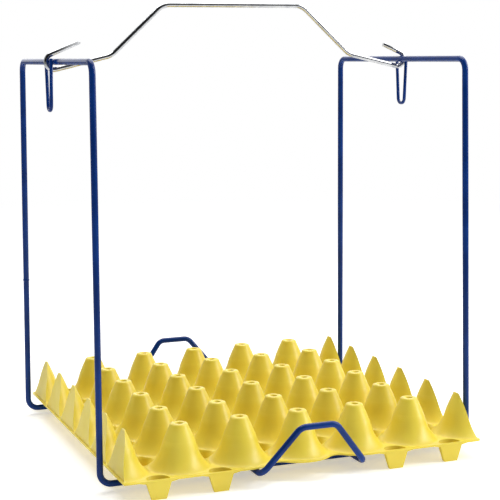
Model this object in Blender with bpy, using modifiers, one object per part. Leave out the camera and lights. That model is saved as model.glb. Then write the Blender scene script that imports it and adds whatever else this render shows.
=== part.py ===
"""Egg tray carrier: a bent-wire carrier with a swinging handle, holding a loose 30-cell egg tray.

X runs along the handle, Y along the side rails, Z is up, and z = 0 is the ground under the tray's feet.
The wire carrier is centred on the Z axis; the tray sits on its two runners.
"""
from math import atan2, cos, pi, radians, sin, sqrt, tan

import bmesh
import bpy
from mathutils import Matrix, Vector

# ---- driving dimensions, in metres -------------------------------------------------------------
GAP = 0.0003                  # left between pieces that touch

# tray
PITCH = 0.049                 # egg cell to egg cell
CELLS_X, CELLS_Y = 6, 5
SHEET = 0.0013                # wall of the moulding
POST_HEIGHT = 0.035           # above the underside of the sheet
FOOT_DEPTH = 0.014            # below the underside of the sheet
TRAY_HALF = 0.1497            # half the side of the square tray
TRAY_X, TRAY_Y = 0.0012, -0.006            # the tray stands a little forward and right in the carrier
POST_SIDES = 10

# wire
FRAME_WIRE = 0.005
KEEPER_WIRE = 0.0028
HANDLE_WIRE = 0.004
BEND = 0.009                  # inner corners of the frame wire, on its centre line

# carrier
BASE_HALF_X, BASE_HALF_Y = 0.1572, 0.1215
TOP_HALF_X, TOP_HALF_Y = 0.1542, 0.1160
FRAME_HEIGHT = 0.3134         # base wire to crossbar
RUNNER_X = 0.043
STOP_FOOT_Y, STOP_TOP_Y = 0.1620, 0.1710
STOP_HEIGHT = 0.0358          # above the runner
STOP_HALF_TOP = 0.0145
KEEPER_HALF_TOP, KEEPER_HALF_FOOT = 0.0087, 0.0052
KEEPER_DROP = 0.0386          # crossbar to the bottom of the keeper's loop

# handle, in its own frame with the hinge line through the two crossbars
HOOK_RADIUS = 0.0063
HOOK_ENDS = ((-1, 0.026), (1, 0.018))      # side, length of the straight free end
FREE_END_TILT = radians(23)
ARM_TILT = radians(13)
ARM_BEND_X = 0.1065
GRIP_HALF = 0.0620
GRIP_RISE = 0.0455            # grip above the crossbars
HANDLE_BEND = 0.016

# levels that follow
UNDERSIDE = FOOT_DEPTH                                  # underside of the tray's sheet
RUNNER_Z = UNDERSIDE - GAP - FRAME_WIRE / 2
BASE_Z = RUNNER_Z - FRAME_WIRE - GAP
CROSSBAR_Z = BASE_Z + FRAME_HEIGHT


# ---- helpers -----------------------------------------------------------------------------------
def collection(name):
    made = bpy.data.collections.new(name)
    bpy.context.scene.collection.children.link(made)
    return made


def material(name, colour, roughness, metallic=0.0):
    made = bpy.data.materials.new(name)
    made.use_nodes = True
    shader = made.node_tree.nodes["Principled BSDF"]
    shader.inputs["Base Color"].default_value = (*colour, 1.0)
    shader.inputs["Roughness"].default_value = roughness
    shader.inputs["Metallic"].default_value = metallic
    return made


def mirrored(points, axis):
    """The same points, last to first, on the other side of the plane across the axis."""
    sign = Vector([-1 if k == axis else 1 for k in range(3)])
    return [p * sign for p in reversed(points)]


def rounded(corners, radius, closed=False, steps=5):
    """The path through the corners, with an arc of the radius at each of them."""
    path = []
    for k, corner in enumerate(corners):
        if not closed and k in (0, len(corners) - 1):
            path.append(corner)
            continue
        back = (corners[k - 1] - corner).normalized()
        ahead = (corners[(k + 1) % len(corners)] - corner).normalized()
        half = back.angle(ahead) / 2
        centre = corner + (back + ahead).normalized() * radius / sin(half)
        first = (corner + back * radius / tan(half) - centre).normalized()
        last = (corner + ahead * radius / tan(half) - centre).normalized()
        path += [centre + first.slerp(last, s / steps) * radius for s in range(steps + 1)]
    return path


def arc(centre, radius, start, end, steps):
    """Points of an arc in the XY plane, from angle to angle."""
    turns = (start + (end - start) * k / steps for k in range(steps + 1))
    return [Vector((centre[0] + radius * cos(a), centre[1] + radius * sin(a), 0)) for a in turns]


def wire(name, path, diameter, finish, place, closed=False, origin=(0, 0, 0)):
    """A round wire along the path."""
    curve = bpy.data.curves.new(name, "CURVE")
    curve.dimensions = "3D"
    curve.bevel_depth = diameter / 2
    curve.bevel_resolution = 2
    curve.use_fill_caps = True
    spline = curve.splines.new("POLY")
    spline.points.add(len(path) - 1)
    for point, spot in zip(spline.points, path):
        point.co = (*(spot - Vector(origin)), 1)
    spline.use_cyclic_u = closed
    spline.use_smooth = True
    made = bpy.data.objects.new(name, curve)
    made.location = origin
    curve.materials.append(finish)
    place.objects.link(made)
    return made


def as_mesh(source):
    """The evaluated mesh of an object, with its seams welded; the object is removed."""
    graph = bpy.context.evaluated_depsgraph_get()
    mesh = bpy.data.meshes.new_from_object(source.evaluated_get(graph))
    bm = bmesh.new()
    bm.from_mesh(mesh)
    bmesh.ops.remove_doubles(bm, verts=bm.verts, dist=1e-6)
    bmesh.ops.recalc_face_normals(bm, faces=bm.faces)
    bm.to_mesh(mesh)
    bm.free()
    bpy.data.objects.remove(source)
    return mesh


def turned(profile, sides, place):
    """A closed turned solid about Z, from an (r, z) profile that runs from the top to the bottom."""
    mesh = bpy.data.meshes.new("profile")
    steps = range(len(profile) - 1)
    mesh.from_pydata([(r, 0, z) for r, z in profile], [(k, k + 1) for k in steps], [])
    outline = bpy.data.objects.new("profile", mesh)
    place.objects.link(outline)
    screw = outline.modifiers.new("turn", "SCREW")
    screw.steps = screw.render_steps = sides
    screw.use_merge_vertices = True
    screw.merge_threshold = 0.00001
    return as_mesh(outline)


def cut(mesh, point, outward):
    """Cuts away what lies past the plane, and closes the cut."""
    bm = bmesh.new()
    bm.from_mesh(mesh)
    geometry = bm.verts[:] + bm.edges[:] + bm.faces[:]
    bmesh.ops.bisect_plane(bm, geom=geometry, dist=1e-7, plane_co=point, plane_no=outward, clear_outer=True)
    bmesh.ops.holes_fill(bm, edges=[e for e in bm.edges if e.is_boundary])
    bmesh.ops.recalc_face_normals(bm, faces=bm.faces)
    made = mesh.copy()
    bm.to_mesh(made)
    bm.free()
    return made


def scattered(name, copies, place):
    """One object that holds a copy of a mesh at each (mesh, transform)."""
    bm = bmesh.new()
    for mesh, transform in copies:
        moved = mesh.copy()
        moved.transform(transform)
        bm.from_mesh(moved)
        bpy.data.meshes.remove(moved)
    bmesh.ops.recalc_face_normals(bm, faces=bm.faces)
    made = bpy.data.objects.new(name, bpy.data.meshes.new(name))
    bm.to_mesh(made.data)
    bm.free()
    place.objects.link(made)
    return made


def boolean(target, tool, operation):
    step = target.modifiers.new(tool.name, "BOOLEAN")
    step.operation = operation
    step.solver = "EXACT"
    step.object = tool
    tool.hide_render = True
    tool.display_type = "WIRE"


# ---- the tray ----------------------------------------------------------------------------------
# A post's wall at each height: slim at the top, swelling past a faint step, flaring into the sheet.
POST_WALL = ((0.0068, POST_HEIGHT), (0.0120, 0.0220), (0.0155, 0.0110), (0.0228, SHEET))
FOOT_TOP, FOOT_TIP = 0.01125, 0.0060       # half widths of a foot at the sheet and at the ground
RIM_ARC = 0.0273                           # the rim follows the middle posts at this radius
NOTCH_DEPTH = 0.0098                       # of the finger notches, from the rim's edge
RIM_CORNER = 0.003
SIDE_FOOT_X = 0.1485                       # where the flat side wall of an edge post stands on the sheet
SIDE_TOP_X = 0.1408                        # and where it ends at the top
CORE_INSET = SHEET * 0.9                   # wall left round the hollows of the posts and feet


def post_profile(inset, foot_z):
    """A post from its crown to its foot; the inset leaves the wall of the moulding."""
    wall = [(r - inset, z - inset) for r, z in POST_WALL]
    return [(0, wall[0][1])] + wall + [(wall[-1][0], foot_z), (0, foot_z)]


def octagon_foot(inset, top_z):
    """A tapered foot with eight sides, flats along X and Y."""
    taper = (FOOT_TOP - FOOT_TIP) / FOOT_DEPTH
    low = FOOT_TIP - inset + taper * inset
    height = top_z + FOOT_DEPTH - inset
    bm = bmesh.new()
    corner = 1 / cos(pi / 8)
    bmesh.ops.create_cone(bm, cap_ends=True, segments=8, radius1=low * corner,
                          radius2=(low + taper * height) * corner, depth=height)
    middle = Matrix.Translation((0, 0, top_z - height / 2))
    bmesh.ops.transform(bm, matrix=middle @ Matrix.Rotation(pi / 8, 4, "Z"), verts=bm.verts)
    mesh = bpy.data.meshes.new("foot")
    bm.to_mesh(mesh)
    bm.free()
    return mesh


def half_outline():
    """The front half of the tray's edge, left to right: corners, straights and finger notches."""
    edge, row = -TRAY_HALF, -PITCH * CELLS_Y / 2
    reach = RIM_ARC
    top = -row + edge + NOTCH_DEPTH                     # from the post row to the notch, negative
    fillet = ((PITCH / 2) ** 2 + top ** 2 - reach ** 2) / (2 * (reach + top))
    drop = sqrt((reach + fillet) ** 2 - (PITCH / 2) ** 2)
    turn = atan2(drop, PITCH / 2)
    corner = arc((-TRAY_HALF + RIM_CORNER, edge + RIM_CORNER), RIM_CORNER, pi, 1.5 * pi, 3)
    left = arc((-PITCH, row), reach, -pi / 2 + radians(3), -turn, 4)
    notch = arc((-PITCH / 2, row - drop), fillet, pi - turn, turn, 4)
    middle = arc((0, row), reach, turn - pi, -pi / 2, 4)
    half = corner + left + notch[1:-1] + middle
    return half + mirrored(half, 0)[1:]


def build_tray(finish, parts, cutters):
    outline = half_outline()
    outline += [Vector((-p.x, -p.y, 0)) for p in outline]
    curve = bpy.data.curves.new("sheet", "CURVE")
    curve.dimensions = "2D"
    curve.fill_mode = "BOTH"
    curve.extrude = SHEET / 2
    spline = curve.splines.new("POLY")
    spline.points.add(len(outline) - 1)
    for point, spot in zip(spline.points, outline):
        point.co = (spot.x, spot.y, SHEET / 2, 1)
    spline.use_cyclic_u = True
    sheet = bpy.data.objects.new("sheet", curve)
    cutters.objects.link(sheet)
    tray = bpy.data.objects.new("egg_tray", as_mesh(sheet))
    tray.data.materials.append(finish)
    parts.objects.link(tray)

    solids = {}
    for kind, inset, post_foot, foot_top in (("skin", 0, SHEET / 2, SHEET / 2),
                                             ("core", CORE_INSET, -SHEET, SHEET * 2)):
        post = turned(post_profile(inset, post_foot), POST_SIDES, cutters)
        foot = octagon_foot(inset, foot_top)
        lean = Vector((POST_HEIGHT, 0, SIDE_FOOT_X - SIDE_TOP_X)).normalized()
        wall = Vector((SIDE_FOOT_X - PITCH * CELLS_X / 2, 0, 0)) - lean * inset
        side_post = cut(post, wall, lean)
        face = Vector((0, TRAY_HALF - PITCH * (CELLS_Y + 1) / 2 - inset, 0))
        edge_foot = cut(foot, face, Vector((0, 1, 0)))
        copies = []
        for row in range(CELLS_Y + 1):
            y = (row - CELLS_Y / 2) * PITCH
            for column in range(CELLS_X + 1):
                spot = Matrix.Translation(((column - CELLS_X / 2) * PITCH, y, 0))
                if column == 0:
                    copies.append((side_post, spot @ Matrix.Rotation(pi, 4, "Z")))
                elif column == CELLS_X:
                    copies.append((side_post, spot))
                else:
                    copies.append((post, spot))
        solids[kind + "_posts"] = scattered(kind + "_posts", copies, cutters)
        copies = []
        for column in range(CELLS_X):
            x = (column - (CELLS_X - 1) / 2) * PITCH
            for row in range(CELLS_Y):
                copies.append((foot, Matrix.Translation((x, (row - (CELLS_Y - 1) / 2) * PITCH, 0))))
            if abs(x) > PITCH:
                rear = Matrix.Translation((x, PITCH * (CELLS_Y + 1) / 2, 0))
                copies += [(edge_foot, rear), (edge_foot, Matrix.Rotation(pi, 4, "Z") @ rear)]
        solids[kind + "_feet"] = scattered(kind + "_feet", copies, cutters)
    boolean(tray, solids["skin_posts"], "UNION")
    boolean(tray, solids["skin_feet"], "UNION")
    boolean(tray, solids["core_posts"], "DIFFERENCE")
    boolean(tray, solids["core_feet"], "DIFFERENCE")
    tray.location = (TRAY_X, TRAY_Y, UNDERSIDE)
    for tool in solids.values():
        tool.location = tray.location
    return tray


# ---- the wire carrier --------------------------------------------------------------------------
def build_hoop(finish, parts):
    """One rod bent into both side frames and the two base wires between them."""
    left = [Vector((-BASE_HALF_X, -BASE_HALF_Y, BASE_Z)), Vector((-TOP_HALF_X, -TOP_HALF_Y, CROSSBAR_Z)),
            Vector((-TOP_HALF_X, TOP_HALF_Y, CROSSBAR_Z)), Vector((-BASE_HALF_X, BASE_HALF_Y, BASE_Z))]
    path = rounded(left + mirrored(left, 0), BEND, closed=True)
    return wire("frame_hoop", path, FRAME_WIRE, finish, parts, closed=True)


def build_runners(finish, parts):
    """One rod bent into the two runners and the end stop at each end of them."""
    front = [Vector((-RUNNER_X, -STOP_FOOT_Y, RUNNER_Z)),
             Vector((-STOP_HALF_TOP, -STOP_TOP_Y, RUNNER_Z + STOP_HEIGHT))]
    front += mirrored(front, 0)
    path = rounded(front + mirrored(front, 1), BEND, closed=True)
    return wire("runner_loop", path, FRAME_WIRE, finish, parts, closed=True)


def build_keeper(name, side, finish, parts):
    """A hairpin of thin wire that hangs on the outside of a crossbar, and keeps the hook mid-way."""
    x = side * (TOP_HALF_X + FRAME_WIRE / 2 + GAP + KEEPER_WIRE / 2)
    leg = [Vector((x, -KEEPER_HALF_TOP, CROSSBAR_Z + FRAME_WIRE / 2)),
           Vector((x, -KEEPER_HALF_FOOT, CROSSBAR_Z - KEEPER_DROP))]
    path = rounded(leg + mirrored(leg, 1), KEEPER_HALF_FOOT * 0.9)
    return wire(name, path, KEEPER_WIRE, finish, parts)


def build_handle(finish, parts):
    """One rod: a raised grip, sloping arms, and an open hook at each end that turns on a crossbar."""
    halves = []
    for side, free_end in HOOK_ENDS:
        centre = Vector((TOP_HALF_X, 0, CROSSBAR_Z))
        first, last = pi / 2 - FREE_END_TILT, -pi / 2 - ARM_TILT
        turns = [first + (last - first) * k / 8 for k in range(9)]
        hook = [centre + Vector((cos(a), 0, sin(a))) * HOOK_RADIUS for a in turns]
        tip = hook[0] + Vector((-cos(FREE_END_TILT), 0, sin(FREE_END_TILT))) * free_end
        arm = hook[-1].x - ARM_BEND_X
        low = Vector((ARM_BEND_X, 0, hook[-1].z + arm * tan(ARM_TILT)))
        high = Vector((GRIP_HALF, 0, CROSSBAR_Z + GRIP_RISE))
        middle = Vector((0, 0, high.z))
        bends = rounded([hook[-1], low, high, middle], HANDLE_BEND)
        half = [tip] + hook[:-1] + bends[:-1]
        halves.append([Vector((side * p.x, p.y, p.z)) for p in half])
    path = halves[0] + list(reversed(halves[1]))
    return wire("carry_handle", path, HANDLE_WIRE, finish, parts, origin=(0, 0, CROSSBAR_Z))


def main():
    for old in list(bpy.data.objects):
        bpy.data.objects.remove(old)
    parts = collection("egg_tray_carrier")
    cutters = collection("cutters")
    blue = (0.020, 0.065, 0.250)
    build_tray(material("tray_plastic", (0.80, 0.62, 0.09), 0.45), parts, cutters)
    build_hoop(material("frame_coating", blue, 0.30), parts)
    build_runners(material("runner_coating", blue, 0.30), parts)
    build_keeper("left_hook_keeper", -1, material("left_keeper_coating", blue, 0.30), parts)
    build_keeper("right_hook_keeper", 1, material("right_keeper_coating", blue, 0.30), parts)
    build_handle(material("handle_chrome", (0.80, 0.80, 0.80), 0.10, 1.0), parts)
    for made in parts.objects:
        if made.type == "MESH":
            made.data.shade_smooth()
            made.data.set_sharp_from_angle(angle=radians(40))


main()
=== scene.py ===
"""Looks of the egg tray carrier: coated wire carrier, chrome handle and moulded tray, in a pale studio."""

from math import acos, asin, atan2, cos, hypot, pi, radians, sin, sqrt, tan

import bmesh
import bpy
from mathutils import Matrix, Vector


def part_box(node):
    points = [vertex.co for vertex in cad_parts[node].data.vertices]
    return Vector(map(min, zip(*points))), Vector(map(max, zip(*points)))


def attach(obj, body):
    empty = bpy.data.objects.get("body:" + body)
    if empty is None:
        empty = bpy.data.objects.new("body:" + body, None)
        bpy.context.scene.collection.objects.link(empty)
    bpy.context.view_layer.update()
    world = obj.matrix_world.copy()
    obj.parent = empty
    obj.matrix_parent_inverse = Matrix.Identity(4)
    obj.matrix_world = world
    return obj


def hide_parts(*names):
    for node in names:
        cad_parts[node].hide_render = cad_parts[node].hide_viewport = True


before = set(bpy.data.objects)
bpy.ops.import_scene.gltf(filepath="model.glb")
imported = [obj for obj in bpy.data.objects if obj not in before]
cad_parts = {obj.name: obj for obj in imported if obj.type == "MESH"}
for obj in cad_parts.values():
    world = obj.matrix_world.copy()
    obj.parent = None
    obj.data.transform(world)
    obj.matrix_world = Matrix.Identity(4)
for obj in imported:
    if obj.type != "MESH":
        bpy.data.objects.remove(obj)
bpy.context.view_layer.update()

# ---- dimensions, in metres ---------------------------------------------------------------------
# tray
PITCH = 0.049                 # egg cell to egg cell
CELLS_X, CELLS_Y = 6, 5
SHEET = 0.0013                # wall of the moulding
SEGMENTS = 36                 # round a post
POST_RADIUS = 0.0240          # where a post's flare runs out into the sheet
# a post from the dimple in its crown, over the lip and the faint step, to the sheet: (radius, height)
CROWN = ((0.0005, 0.0334), (0.0012, 0.0328), (0.0025, 0.0328), (0.0029, 0.0345), (0.0035, 0.0350),
         (0.0050, 0.0350))
POST_WALL = ((0.0064, 0.03475), (0.0069, 0.0342), (0.0072, 0.0332), (0.0090, 0.0293), (0.0105, 0.0259),
             (0.0117, 0.0229), (0.0120, 0.0221), (0.0123, 0.0216), (0.0135, 0.0176), (0.0148, 0.0135),
             (0.0163, 0.0101), (0.0181, 0.0072), (0.0200, 0.0048), (0.0219, 0.0028), (0.0231, 0.0018))
WALL_FOOT, WALL_TOP = 0.0013, -0.0054      # flat side of an edge post, from the post's axis
POST_HEIGHT = 0.0350          # from the sheet's underside, like every height in the tray
TIP_FROM, TIP_FULL = 0.0160, 0.0220        # a side post's wall thins towards its tip between these heights
TIP_FILL = 0.45               # share of the room between its two skins that the wall fills there
TIP_LEAST = 0.03              # the least share of SHEET that is left of it
CORNER_STEPS = 5              # of the bend at a corner of the rim
# the hollow of a foot, from the sheet down: (half width along X or Y, half width at 45 degrees, height)
HOLLOW = ((0.0126, 0.0100, 0.0008), (0.0115, 0.0098, 0.0001), (0.0101, 0.0096, -0.0012),
          (0.0084, 0.0093, -0.0040), (0.0069, 0.0083, -0.0080), (0.0055, 0.0070, -0.0120),
          (0.0050, 0.0063, -0.0127))
HOLLOW_REACH = 0.0140         # of the hollow's mouth, towards the saddles between posts
MOUTH_GAP, MOUTH_POWER = 0.0001, 8         # from the mouth to the posts' feet, and how tight its corners are
BRIM_SHARE = 0.6              # how far from the posts to the mouth an extra ring of points lies
EDGE_MOUTH, EDGE_SOLE = 0.0090, 0.0048     # half widths of an edge foot's hollow: at the sheet, at its end
EDGE_CORNERS = 1.04           # that hollow's half width at 45 degrees, as a multiple of the one along X or Y
EDGE_LEAN = 0.04              # of that foot's flat face
EDGE_FACE = 0.0018            # inner front face of an edge foot, from the rim's edge
NOTCH_DEPTH = 0.0098          # of the finger notches, from the rim's edge
RIM_POINTS = 13               # along the straight rim of an edge cell
WELD_DISTANCE = 1e-5          # points of the sheet that are closer than this become one
SHARPEST = radians(42)        # an edge that bends more than this shows as a crease

# camera
CAMERA_PLACE = (-0.41448, -1.07649, 0.32268)
CAMERA_TURN = (21.667, 8.117, -0.424)      # yaw, pitch, roll in degrees
CAMERA_LENS = 97.94

# studio: softboxes as name, place, width, height and watts, and how bright the rest of the room is
SOFTBOXES = (("key", (1.5, -0.7, 1.1), 0.5, 1.5, 23), ("left", (-1.7, 0.5, 0.8), 0.5, 1.5, 2),
             ("top", (0.1, 0.6, 2.0), 1.9, 1.5, 29))
ROOM_LIGHT = 0.33
ROOM_BRIGHT = (0.75, 0.60, 0.28)           # gloss sees the room brightest towards this side
ROOM_GLOSS = (-0.2, 0.9, 0.02, 1.80)       # from away to towards it, and the brightness there
FLOOR_RADIUS = 14
FLOOR_FADE = (0.5, 1.9)       # from here to there the floor turns into the white backdrop
FLOOR_GLOW, FLOOR_GLOSS = 0.42, 0.2        # the floor's own light, and how much of it gloss sees
MIDDLE = Vector((0, 0, 0.1))  # where the softboxes point

# wire
BEND = 0.009
TOP_HALF_X, TOP_HALF_Y = 0.1542, 0.1160
RUNNER_X = 0.043
STOP_FOOT_Y, STOP_HEIGHT, STOP_HALF_TOP = 0.1620, 0.0358, 0.0145
KEEPER_HALF_TOP, KEEPER_HALF_FOOT = 0.0087, 0.0052
FRAME_WIRE, KEEPER_WIRE, HANDLE_WIRE = 0.005, 0.0028, 0.004
KEEPER_BEND = KEEPER_HALF_FOOT * 0.9       # at the two corners of a keeper's foot
HOOK_RADIUS, HOOK_STEPS = 0.0063, 24
HOOK_ENDS = ((-1, 0.026), (1, 0.018))      # side, and the length of the hook's free end
CHAMFER = 0.12                # of a cut wire end, in wire diameters
HOOP_JOINT_Z = 0.125          # where the hoop's two ends are welded together
KEEPER_BEAD = (0.0012, 0.0021, 0.0019)     # half sizes of the weld beads
RUNNER_BEAD = (0.0022, 0.0022, 0.0016)
HOOP_BEAD = (0.0029, 0.0029, 0.0021)
RUNNER_BEAD_OFF = 0.0018      # of the two beads on either side of a crossing, from its middle
FREE_END_TILT, ARM_TILT = radians(23), radians(13)
ARM_BEND_X, GRIP_HALF, HANDLE_BEND = 0.1065, 0.0620, 0.016

# colours, in linear red, green and blue
TRAY_COLOURS = ((0.785, 0.625, 0.052), (0.840, 0.685, 0.078))
TRAY_FLOW = (0.815, 0.612, 0.044)
COATING_COLOURS = ((0.002, 0.022, 0.135), (0.004, 0.035, 0.195))
CHROME_COLOURS = ((0.50, 0.51, 0.53), (0.64, 0.65, 0.66))

# from the frame
tray_low, tray_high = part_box("egg_tray")
hoop_low, hoop_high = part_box("frame_hoop")
runner_low, runner_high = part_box("runner_loop")
keeper_low, keeper_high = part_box("right_hook_keeper")
handle_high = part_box("carry_handle")[1]
TRAY_HALF = (tray_high[0] - tray_low[0]) / 2
TRAY_X, TRAY_Y = ((tray_low[k] + tray_high[k]) / 2 for k in (0, 1))
UNDERSIDE = tray_high[2] - POST_HEIGHT
BASE_HALF_X, BASE_HALF_Y = (hoop_high[k] - FRAME_WIRE / 2 for k in (0, 1))
BASE_Z, CROSSBAR_Z = hoop_low[2] + FRAME_WIRE / 2, hoop_high[2] - FRAME_WIRE / 2
RUNNER_Z = runner_low[2] + FRAME_WIRE / 2
STOP_TOP_Y = runner_high[1] - FRAME_WIRE / 2
GRIP_Z = handle_high[2] - HANDLE_WIRE / 2
KEEPER_FOOT_Z = keeper_low[2] + KEEPER_WIRE / 2
KEEPER_X = (keeper_low[0] + keeper_high[0]) / 2


# ---- materials ---------------------------------------------------------------------------------
class Nodes:
    """A new material's nodes, made and linked by short calls."""

    def __init__(self, name):
        self.material = bpy.data.materials.new(name)
        self.material.use_nodes = True
        self.tree = self.material.node_tree
        self.shader = self.tree.nodes["Principled BSDF"]

    def add(self, kind, inputs=None, **settings):
        node = self.tree.nodes.new("ShaderNode" + kind)
        for key, value in settings.items():
            setattr(node, key, value)
        for socket, value in (inputs or {}).items():
            self.put(node, socket, value)
        return node

    def put(self, node, socket, value):
        if isinstance(value, bpy.types.NodeSocket):
            self.tree.links.new(value, node.inputs[socket])
        else:
            node.inputs[socket].default_value = value

    def noise(self, scale, detail=2.0, roughness=0.5, stretch=None):
        place = self.add("TexCoord").outputs["Object"]
        if stretch:
            place = self.add("Mapping", {"Vector": place, "Scale": stretch}).outputs["Vector"]
        sockets = {"Vector": place, "Scale": scale, "Detail": detail, "Roughness": roughness}
        return self.add("TexNoise", sockets).outputs["Fac"]

    def ramp(self, source, low, high, start=0.0, end=1.0):
        """The source, spread from start..end over low..high."""
        sockets = {"Value": source, "From Min": start, "From Max": end, "To Min": low, "To Max": high}
        return self.add("MapRange", sockets).outputs["Result"]

    def blend(self, factor, first, second):
        node = self.add("Mix", data_type="RGBA")
        self.tree.links.new(factor, node.inputs[0])
        for socket, value in ((6, first), (7, second)):
            if isinstance(value, bpy.types.NodeSocket):
                self.tree.links.new(value, node.inputs[socket])
            else:
                node.inputs[socket].default_value = (*value, 1.0)
        return node.outputs[2]

    def bump(self, height, strength, distance, normal=None):
        node = self.add("Bump", {"Height": height, "Strength": strength, "Distance": distance})
        if normal:
            self.put(node, "Normal", normal)
        return node.outputs["Normal"]

    def finish(self, **sockets):
        for key, value in sockets.items():
            self.put(self.shader, key.replace("_", " "), value)
        return self.material


def tray_plastic():
    """Satin moulded plastic: warm yellow, a little uneven in tone, with a fine spark-eroded grain."""
    n = Nodes("tray_plastic")
    tone = n.ramp(n.noise(22, 3, 0.55), 0, 1, 0.32, 0.68)
    flow = n.ramp(n.noise(9, 2, 0.5, stretch=(1, 3, 6)), 0, 1, 0.35, 0.65)
    colour = n.blend(tone, *TRAY_COLOURS)
    colour = n.blend(n.ramp(flow, 0, 0.35), colour, TRAY_FLOW)
    gloss = n.ramp(n.noise(60, 2), 0.33, 0.43, 0.3, 0.7)
    grain = n.bump(n.noise(1500, 2, 0.6), 0.10, 0.0002)
    waves = n.bump(n.noise(90, 1), 0.10, 0.0006, grain)
    return n.finish(Base_Color=colour, Roughness=gloss, Normal=waves, IOR=1.48, Subsurface_Weight=0.12,
                    Subsurface_Radius=(0.0030, 0.0020, 0.0006), Subsurface_Scale=1.0)


def frame_coating():
    """Glossy blue coating on the wire, with a soft orange peel and slightly uneven gloss."""
    n = Nodes("frame_coating")
    tone = n.ramp(n.noise(35, 2), 0, 1, 0.35, 0.65)
    colour = n.blend(tone, *COATING_COLOURS)
    gloss = n.ramp(n.noise(120, 2), 0.10, 0.18, 0.3, 0.7)
    peel = n.bump(n.noise(420, 2, 0.5), 0.07, 0.0004)
    runs = n.bump(n.noise(70, 1), 0.08, 0.0008, peel)
    return n.finish(Base_Color=colour, Roughness=gloss, Normal=runs, IOR=1.45, Specular_IOR_Level=0.24)


def handle_chrome():
    """Bright plating over drawn wire: fine lines along it and a slight waviness."""
    n = Nodes("handle_chrome")
    tone = n.ramp(n.noise(160, 3), 0, 1, 0.35, 0.65)
    colour = n.blend(tone, *CHROME_COLOURS)
    gloss = n.ramp(n.noise(300, 3, 0.6), 0.07, 0.20, 0.3, 0.75)
    lines = n.bump(n.noise(900, 2, 0.6, stretch=(0.06, 1, 1)), 0.12, 0.0002)
    waves = n.bump(n.noise(110, 1), 0.18, 0.0006, lines)
    return n.finish(Base_Color=colour, Roughness=gloss, Normal=waves, Metallic=1.0)


# ---- new objects and meshes --------------------------------------------------------------------
def placed(name, data, material=None):
    """A new object in the scene, with the data and the material."""
    made = bpy.data.objects.new(name, data)
    bpy.context.scene.collection.objects.link(made)
    if material:
        data.materials.append(material)
    return made


def built(name, bm):
    """A mesh with what the bmesh holds, which is freed."""
    mesh = bpy.data.meshes.new(name)
    bm.to_mesh(mesh)
    bm.free()
    return mesh


# ---- wires -------------------------------------------------------------------------------------
def mirrored(points, axis):
    """The same points, last to first, on the other side of the plane across the axis."""
    sign = Vector([-1 if k == axis else 1 for k in range(3)])
    return [p * sign for p in reversed(points)]


def rounded(corners, radius, closed=False, steps=12):
    """The path through the corners, with an arc of the radius at each of them."""
    path = []
    for k, corner in enumerate(corners):
        if not closed and k in (0, len(corners) - 1):
            path.append(corner)
            continue
        back = (corners[k - 1] - corner).normalized()
        ahead = (corners[(k + 1) % len(corners)] - corner).normalized()
        half = back.angle(ahead) / 2
        centre = corner + (back + ahead).normalized() * radius / sin(half)
        first = (corner + back * radius / tan(half) - centre).normalized()
        last = (corner + ahead * radius / tan(half) - centre).normalized()
        path += [centre + first.slerp(last, s / steps) * radius for s in range(steps + 1)]
    return path


def wire(name, path, diameter, material, body, node, closed=False):
    """A round wire along the path; an open one has its cut ends dressed with a small chamfer."""
    curve = bpy.data.curves.new(name, "CURVE")
    curve.dimensions = "3D"
    curve.bevel_depth = diameter / 2
    curve.bevel_resolution = 10
    curve.use_fill_caps = True
    sizes = [1.0] * len(path)
    if not closed:
        chamfer = diameter * CHAMFER
        first, last = (end + (inner - end).normalized() * chamfer
                       for end, inner in ((path[0], path[1]), (path[-1], path[-2])))
        path = [path[0], first, *path[1:-1], last, path[-1]]
        sizes = [1 - 2 * CHAMFER] + [1.0] * (len(path) - 2) + [1 - 2 * CHAMFER]
    spline = curve.splines.new("POLY")
    spline.points.add(len(path) - 1)
    for point, spot, size in zip(spline.points, path, sizes):
        point.co = (*spot, 1)
        point.radius = size
    spline.use_cyclic_u = closed
    spline.use_smooth = True
    made = placed(name, curve, material)
    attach(made, body)
    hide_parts(node)


def build_carrier(blue):
    left = [Vector((-BASE_HALF_X, -BASE_HALF_Y, BASE_Z)), Vector((-TOP_HALF_X, -TOP_HALF_Y, CROSSBAR_Z)),
            Vector((-TOP_HALF_X, TOP_HALF_Y, CROSSBAR_Z)), Vector((-BASE_HALF_X, BASE_HALF_Y, BASE_Z))]
    hoop = rounded(left + mirrored(left, 0), BEND, closed=True)
    wire("frame_hoop_wire", hoop, FRAME_WIRE, blue, "carrier", "frame_hoop", closed=True)
    front = [Vector((-RUNNER_X, -STOP_FOOT_Y, RUNNER_Z)),
             Vector((-STOP_HALF_TOP, -STOP_TOP_Y, RUNNER_Z + STOP_HEIGHT))]
    front += mirrored(front, 0)
    loop = rounded(front + mirrored(front, 1), BEND, closed=True)
    wire("runner_wire", loop, FRAME_WIRE, blue, "carrier", "runner_loop", closed=True)
    for name, side in (("left", -1), ("right", 1)):
        leg = [Vector((side * KEEPER_X, -KEEPER_HALF_TOP, CROSSBAR_Z + FRAME_WIRE / 2)),
               Vector((side * KEEPER_X, -KEEPER_HALF_FOOT, KEEPER_FOOT_Z))]
        path = rounded(leg + mirrored(leg, 1), KEEPER_BEND)
        wire(name + "_keeper_wire", path, KEEPER_WIRE, blue, "carrier", name + "_hook_keeper")


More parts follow.
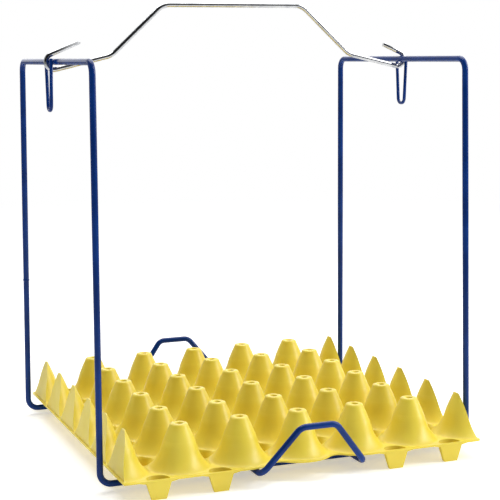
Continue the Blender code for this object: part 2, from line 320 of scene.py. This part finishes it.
def weld_beads(blue):
    """Small coated beads: keepers on the crossbars, base wires on the runners, and the hoop's own joint."""
    beads = []
    for side in (-1, 1):
        for end in (-1, 1):
            leg = (side * (TOP_HALF_X + FRAME_WIRE / 2), end * KEEPER_HALF_TOP, CROSSBAR_Z)
            beads.append((leg, KEEPER_BEAD))
            for away in (-RUNNER_BEAD_OFF, RUNNER_BEAD_OFF):
                crossing = (side * RUNNER_X + away, end * BASE_HALF_Y, (BASE_Z + RUNNER_Z) / 2)
                beads.append((crossing, RUNNER_BEAD))
    share = HOOP_JOINT_Z / CROSSBAR_Z
    joint_x = -(BASE_HALF_X + (TOP_HALF_X - BASE_HALF_X) * share)
    joint_y = BASE_HALF_Y + (TOP_HALF_Y - BASE_HALF_Y) * share
    beads.append(((joint_x, joint_y, HOOP_JOINT_Z), HOOP_BEAD))
    bm = bmesh.new()
    for place, size in beads:
        matrix = Matrix.Translation(place) @ Matrix.Diagonal((*size, 1))
        bmesh.ops.create_uvsphere(bm, u_segments=20, v_segments=12, radius=1, matrix=matrix)
    made = placed("weld_beads", built("weld_beads", bm), blue)
    made.data.shade_smooth()
    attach(made, "carrier")


def build_handle(chrome):
    halves = []
    for side, free_end in HOOK_ENDS:
        centre = Vector((TOP_HALF_X, 0, CROSSBAR_Z))
        first, last = pi / 2 - FREE_END_TILT, -pi / 2 - ARM_TILT
        turns = [first + (last - first) * k / HOOK_STEPS for k in range(HOOK_STEPS + 1)]
        hook = [centre + Vector((cos(a), 0, sin(a))) * HOOK_RADIUS for a in turns]
        tip = hook[0] + Vector((-cos(FREE_END_TILT), 0, sin(FREE_END_TILT))) * free_end
        arm = hook[-1].x - ARM_BEND_X
        low = Vector((ARM_BEND_X, 0, hook[-1].z + arm * tan(ARM_TILT)))
        high = Vector((GRIP_HALF, 0, GRIP_Z))
        bends = rounded([hook[-1], low, high, Vector((0, 0, GRIP_Z))], HANDLE_BEND)
        half = [tip] + hook[:-1] + bends[:-1]
        halves.append([Vector((side * p.x, p.y, p.z)) for p in half])
    path = halves[0] + list(reversed(halves[1]))
    wire("handle_rod", path, HANDLE_WIRE, chrome, "handle", "carry_handle")


# ---- the tray ----------------------------------------------------------------------------------
class Sheet:
    """Points and faces of one open sheet; its seams are welded at the end."""

    def __init__(self):
        self.points, self.faces = [], []

    def grid(self, rows, closed=False, capped=False):
        """Quads between rows of equal length; a capped last row is closed with one face."""
        start, width = len(self.points), len(rows[0])
        for row in rows:
            self.points += row
        for r in range(len(rows) - 1):
            for c in range(width if closed else width - 1):
                a, b = start + r * width + c, start + r * width + (c + 1) % width
                self.faces.append((a, b, b + width, a + width))
        if capped:
            self.faces.append(tuple(range(len(self.points) - width, len(self.points))))

    def mesh(self, name):
        bm = bmesh.new()
        verts = [bm.verts.new(p) for p in self.points]
        for face in self.faces:
            bm.faces.new([verts[k] for k in face])
        bmesh.ops.remove_doubles(bm, verts=bm.verts, dist=WELD_DISTANCE)
        bmesh.ops.recalc_face_normals(bm, faces=bm.faces)
        if sum(f.normal.z * f.calc_area() for f in bm.faces) < 0:
            bmesh.ops.reverse_faces(bm, faces=bm.faces)
        return built(name, bm)


def turned(rows, centre, angles):
    return [[(centre[0] + r * cos(a), centre[1] + r * sin(a), z) for a in angles] for r, z in rows]


def arc(centre, radius, start, end, steps):
    """Points of an arc, from angle to angle, without a height."""
    turns = [start + (end - start) * k / steps for k in range(steps + 1)]
    return [(centre[0] + radius * cos(a), centre[1] + radius * sin(a)) for a in turns]


def mix(first, second, t):
    return [tuple(p + (q - p) * t for p, q in zip(a, b)) for a, b in zip(first, second)]


def level(points, z):
    return [(x, y, z) for x, y in points]


def full_post(sheet, x, y):
    angles = [2 * pi * k / SEGMENTS for k in range(SEGMENTS)]
    rows = turned([*CROWN, *POST_WALL, (POST_RADIUS, SHEET)], (x, y), angles)
    sheet.grid(rows[::-1], closed=True, capped=True)


def side_wall(z):
    """Where the flat wall of a side post stands at this height, outwards from the post's axis."""
    return WALL_FOOT + (WALL_TOP - WALL_FOOT) * (z - SHEET) / (POST_HEIGHT - SHEET)


def side_post(sheet, side, y):
    """A post at the tray's side, cut by a flat wall that leans inwards. Returns the foot of that wall."""
    rim = acos(WALL_FOOT / POST_RADIUS)
    steps = SEGMENTS // 2
    marks = [rim] + [pi / 2 + pi * k / steps for k in range(steps + 1)] + [2 * pi - rim]
    shares = [(a - rim) / (2 * pi - 2 * rim) for a in marks]
    axis = side * PITCH * CELLS_X / 2
    around, across = [], []
    for r, z in (*POST_WALL, (POST_RADIUS, SHEET)):
        start = acos(side_wall(z) / r)
        turns = [start + (2 * pi - 2 * start) * s for s in shares]
        around.append([(axis + side * r * cos(a), y + r * sin(a), z) for a in turns])
        left, right = Vector(around[-1][0]), Vector(around[-1][-1])
        across.append([tuple(left.lerp(right, s)) for s in shares])
    sheet.grid(around)
    sheet.grid(across)
    sheet.grid([around[0], across[0]])
    return [around[-1][-2]] + across[-1][::-1] + [around[-1][1]]


def mouth(angle):
    """The hollow's mouth: it follows the four posts' feet and stops short of the saddles."""
    off = (angle % (pi / 2)) - pi / 4
    far = PITCH / sqrt(2)
    clear = POST_RADIUS + MOUTH_GAP
    reach = far * cos(off) - sqrt(max(clear ** 2 - (far * sin(off)) ** 2, 0))
    return (reach ** -MOUTH_POWER + HOLLOW_REACH ** -MOUTH_POWER) ** (-1 / MOUTH_POWER)


def squarish(angle, along, across):
    """Half width of a foot's hollow at the angle: along on the axes, across halfway between them."""
    return across + (along - across) * cos(2 * angle) ** 2


def cell(sheet, x, y):
    """The sheet between four posts, with the hollow of a foot in the middle."""
    half = PITCH / 2
    border = []
    for q, (sx, sy) in enumerate(((1, 1), (-1, 1), (-1, -1), (1, -1))):
        post = (x + sx * half, y + sy * half)
        border += arc(post, POST_RADIUS, (q + 3) * pi / 2, (q + 2) * pi / 2, SEGMENTS // 4)
    count = len(border)
    angles = [2 * pi * (k + 0.5) / count for k in range(count)]
    brim = [(x + mouth(a) * cos(a), y + mouth(a) * sin(a)) for a in angles]
    rows = [level(border, SHEET), level(mix(border, brim, BRIM_SHARE), SHEET), level(brim, SHEET)]
    for along, across, z in HOLLOW:
        spans = [squarish(a, along, across) for a in angles]
        rows.append([(x + r * cos(a), y + r * sin(a), z) for r, a in zip(spans, angles)])
    sheet.grid(rows, closed=True, capped=True)


def edge_cell(sheet, x, end):
    """The sheet between the end row of posts and the rim, with an edge foot that has a flat face."""
    half, row = PITCH / 2, PITCH * CELLS_Y / 2
    border = [(half, TRAY_HALF), *arc((half, row), POST_RADIUS, pi / 2, pi, SEGMENTS // 4),
              *arc((-half, row), POST_RADIUS, 0, pi / 2, SEGMENTS // 4), (-half, TRAY_HALF)]
    bends = len(border)
    border += [(-half + PITCH * (k + 1) / (RIM_POINTS + 1), TRAY_HALF) for k in range(RIM_POINTS)]
    middle = PITCH * (CELLS_Y + 1) / 2
    rings = []
    for z in (SHEET, *(ring[2] for ring in HOLLOW)):
        along = EDGE_SOLE + (EDGE_MOUTH - EDGE_SOLE) * (z - HOLLOW[-1][2]) / (SHEET - HOLLOW[-1][2])
        across = along * EDGE_CORNERS
        face = TRAY_HALF - EDGE_FACE - EDGE_LEAN * (SHEET - z)
        corner = asin((face - middle) / along)
        turns = [corner - (pi + 2 * corner) * k / (bends - 1) for k in range(bends)]
        spans = [squarish(a, along, across) for a in turns]
        ring = [(r * cos(a), middle + r * sin(a)) for r, a in zip(spans, turns)]
        ring[0], ring[-1] = (ring[0][0], face), (ring[-1][0], face)
        width = ring[0][0]
        ring += [(-width + 2 * width * (k + 1) / (RIM_POINTS + 1), face) for k in range(RIM_POINTS)]
        rings.append((ring, z))
    rows = [(border, SHEET), (mix(border, rings[0][0], 0.5), SHEET), *rings]
    rows = [[(x + u, end * v, z) for u, v in ring] for ring, z in rows]
    sheet.grid(rows, closed=True, capped=True)


def notch(sheet, x, end):
    """The rim from one middle post to the next: round both posts, with a finger notch between."""
    half, row = PITCH / 2, PITCH * CELLS_Y / 2
    reach = TRAY_HALF - row
    top = NOTCH_DEPTH - reach
    fillet = (half ** 2 + top ** 2 - reach ** 2) / (2 * (reach + top))
    drop = sqrt((reach + fillet) ** 2 - half ** 2)
    turn = atan2(drop, half)
    count = SEGMENTS // 4 + 1
    bend = count // 3 * 2
    inner = arc((-half, row), POST_RADIUS, pi / 2, 0, count - 1) + \
        arc((half, row), POST_RADIUS, pi, pi / 2, count - 1)
    side = count - bend // 2 - 1
    outer = arc((-half, row), reach, pi / 2, turn, side) + \
        arc((0, row + drop), fillet, pi + turn, 2 * pi - turn, bend + 1)[1:-1] + \
        arc((half, row), reach, pi - turn, pi / 2, side)
    rows = [inner, mix(inner, outer, 0.5), outer]
    sheet.grid([[(x + u, end * v, SHEET) for u, v in row_points] for row_points in rows])


def side_rim(sheet, side):
    """The edge posts of one side, and the rim outside them, up to its rounded corners."""
    chain = []
    for row in range(CELLS_Y + 1):
        chain += side_post(sheet, side, (row - CELLS_Y / 2) * PITCH)
    sheet.grid([chain, [(side * TRAY_HALF, y, z) for _, y, z in chain]])
    inner = PITCH * CELLS_X / 2
    for end in (-1, 1):
        last = PITCH * CELLS_Y / 2 + POST_RADIUS
        bend = arc((inner, inner), TRAY_HALF - inner, pi / 2, 0, CORNER_STEPS)
        outline = bend + [(TRAY_HALF, last), (inner, last)]
        sheet.grid([[(side * u, end * v, SHEET) for u, v in outline]], capped=True)


def post_radius(z):
    """A post's radius at this height."""
    for (wide, low), (narrow, high) in zip(POST_WALL[:0:-1], POST_WALL[-2::-1]):
        if low <= z <= high:
            return wide + (narrow - wide) * (z - low) / (high - low)
    return POST_WALL[0][0]


def wall_share(x, y, z):
    """The share of the sheet's thickness that fits in a side post, where its flat and round skins meet."""
    outward = abs(x) - PITCH * CELLS_X / 2
    row = y / PITCH + CELLS_Y / 2
    room = max(side_wall(z) - outward, post_radius(z) - hypot(outward, (row - round(row)) * PITCH))
    share = min(max(TIP_FILL * room / SHEET, TIP_LEAST), 1.0)
    rise = min(max((z - TIP_FROM) / (TIP_FULL - TIP_FROM), 0.0), 1.0)
    return 1 - rise * (1 - share)


def build_tray(yellow):
    sheet = Sheet()
    for row in range(CELLS_Y + 1):
        for column in range(1, CELLS_X):
            full_post(sheet, (column - CELLS_X / 2) * PITCH, (row - CELLS_Y / 2) * PITCH)
    for column in range(CELLS_X):
        x = (column - (CELLS_X - 1) / 2) * PITCH
        for row in range(CELLS_Y):
            cell(sheet, x, (row - (CELLS_Y - 1) / 2) * PITCH)
        for end in (-1, 1):
            (edge_cell if abs(x) > PITCH else notch)(sheet, x, end)
    for side in (-1, 1):
        side_rim(sheet, side)
    made = placed("tray_moulding", sheet.mesh("tray_moulding"))
    made.location = (TRAY_X, TRAY_Y, UNDERSIDE)
    wall = made.modifiers.new("wall", "SOLIDIFY")
    wall.thickness = SHEET
    wall.offset = -1
    wall.use_even_offset = True
    thin = made.vertex_groups.new(name="wall")
    wall.vertex_group = thin.name
    for point in made.data.vertices:
        beside = abs(point.co.x) > PITCH * CELLS_X / 2 - POST_RADIUS
        thin.add([point.index], wall_share(*point.co) if beside else 1.0, "REPLACE")
    graph = bpy.context.evaluated_depsgraph_get()
    made.data = bpy.data.meshes.new_from_object(made.evaluated_get(graph))
    made.modifiers.clear()
    made.data.materials.append(yellow)
    made.data.shade_smooth()
    made.data.set_sharp_from_angle(angle=SHARPEST)
    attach(made, "tray")
    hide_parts("egg_tray")


# ---- studio ------------------------------------------------------------------------------------
def room():
    """White to the eye, dimmer as light on the object, and graded from side to side in its gloss."""
    world = bpy.data.worlds.new("studio")
    world.use_nodes = True
    bpy.context.scene.world = world
    tree = world.node_tree
    backdrop = tree.nodes["Background"]
    lighting, mirrored_room = (tree.nodes.new("ShaderNodeBackground") for _ in range(2))
    for node, strength in ((backdrop, 1.0), (lighting, ROOM_LIGHT)):
        node.inputs["Strength"].default_value = strength
    for node in (backdrop, lighting, mirrored_room):
        node.inputs["Color"].default_value = (1, 1, 1, 1)
    direction = tree.nodes.new("ShaderNodeTexCoord")
    towards = tree.nodes.new("ShaderNodeVectorMath")
    towards.operation = "DOT_PRODUCT"
    towards.inputs[1].default_value = ROOM_BRIGHT
    tree.links.new(direction.outputs["Generated"], towards.inputs[0])
    rise = tree.nodes.new("ShaderNodeMapRange")
    tree.links.new(towards.outputs["Value"], rise.inputs["Value"])
    for socket, value in zip(("From Min", "From Max", "To Min", "To Max"), ROOM_GLOSS):
        rise.inputs[socket].default_value = value
    tree.links.new(rise.outputs[0], mirrored_room.inputs["Strength"])
    rays = tree.nodes.new("ShaderNodeLightPath")
    seen = lighting
    for ray, other in (("Is Glossy Ray", mirrored_room), ("Is Camera Ray", backdrop)):
        pick = tree.nodes.new("ShaderNodeMixShader")
        tree.links.new(rays.outputs[ray], pick.inputs[0])
        tree.links.new(seen.outputs[0], pick.inputs[1])
        tree.links.new(other.outputs[0], pick.inputs[2])
        seen = pick
    tree.links.new(seen.outputs[0], tree.nodes["World Output"].inputs["Surface"])


def softboxes():
    for name, place, width, height, watts in SOFTBOXES:
        light = bpy.data.lights.new(name, "AREA")
        light.shape = "RECTANGLE"
        light.size, light.size_y = width, height
        light.energy = watts
        made = placed(name, light)
        made.location = place
        made.rotation_euler = (MIDDLE - Vector(place)).to_track_quat("-Z", "Y").to_euler()


def floor_paint():
    """Pale paint that fades into the white backdrop, and is dimmer in the object's gloss."""
    n = Nodes("floor_paint")
    tone = n.ramp(n.noise(4, 3), 0.88, 0.92)
    grey = n.add("CombineColor", {0: tone, 1: tone, 2: tone})
    away = n.add("VectorMath", {0: n.add("TexCoord").outputs["Object"]}, operation="LENGTH")
    fade = n.ramp(away.outputs["Value"], 0, 1, *FLOOR_FADE)
    gloss = n.add("LightPath").outputs["Is Glossy Ray"]
    n.finish(Base_Color=grey.outputs[0], Roughness=0.8, Emission_Color=(1, 1, 1, 1),
             Emission_Strength=n.ramp(gloss, FLOOR_GLOW, FLOOR_GLOW * FLOOR_GLOSS))
    far = n.add("Emission", {"Color": (1, 1, 1, 1), "Strength": n.ramp(gloss, 1, FLOOR_GLOSS)})
    both = n.add("MixShader", {0: fade, 1: n.shader.outputs[0], 2: far.outputs[0]})
    n.put(n.tree.nodes["Material Output"], "Surface", both.outputs[0])
    return n.material


def build_floor():
    bm = bmesh.new()
    bmesh.ops.create_circle(bm, cap_ends=True, segments=96, radius=FLOOR_RADIUS)
    floor = placed("floor", built("floor", bm), floor_paint())


def camera():
    """The eye-level view over the tray's front left corner."""
    data = bpy.data.cameras.new("camera")
    data.lens = CAMERA_LENS
    made = placed("camera", data)
    yaw, pitch, roll = (radians(a) for a in CAMERA_TURN)
    turn = Matrix.Rotation(roll, 3, "Y") @ Matrix.Rotation(pitch, 3, "X") @ Matrix.Rotation(yaw, 3, "Z")
    made.matrix_world = Matrix.Translation(CAMERA_PLACE) @ \
        (turn.transposed() @ Matrix.Rotation(pi / 2, 3, "X")).to_4x4()
    bpy.context.scene.camera = made


def main():
    bpy.context.scene.view_settings.view_transform = "Standard"
    yellow, blue, chrome = tray_plastic(), frame_coating(), handle_chrome()
    build_carrier(blue)
    weld_beads(blue)
    build_handle(chrome)
    build_tray(yellow)
    room()
    softboxes()
    build_floor()
    camera()


main()
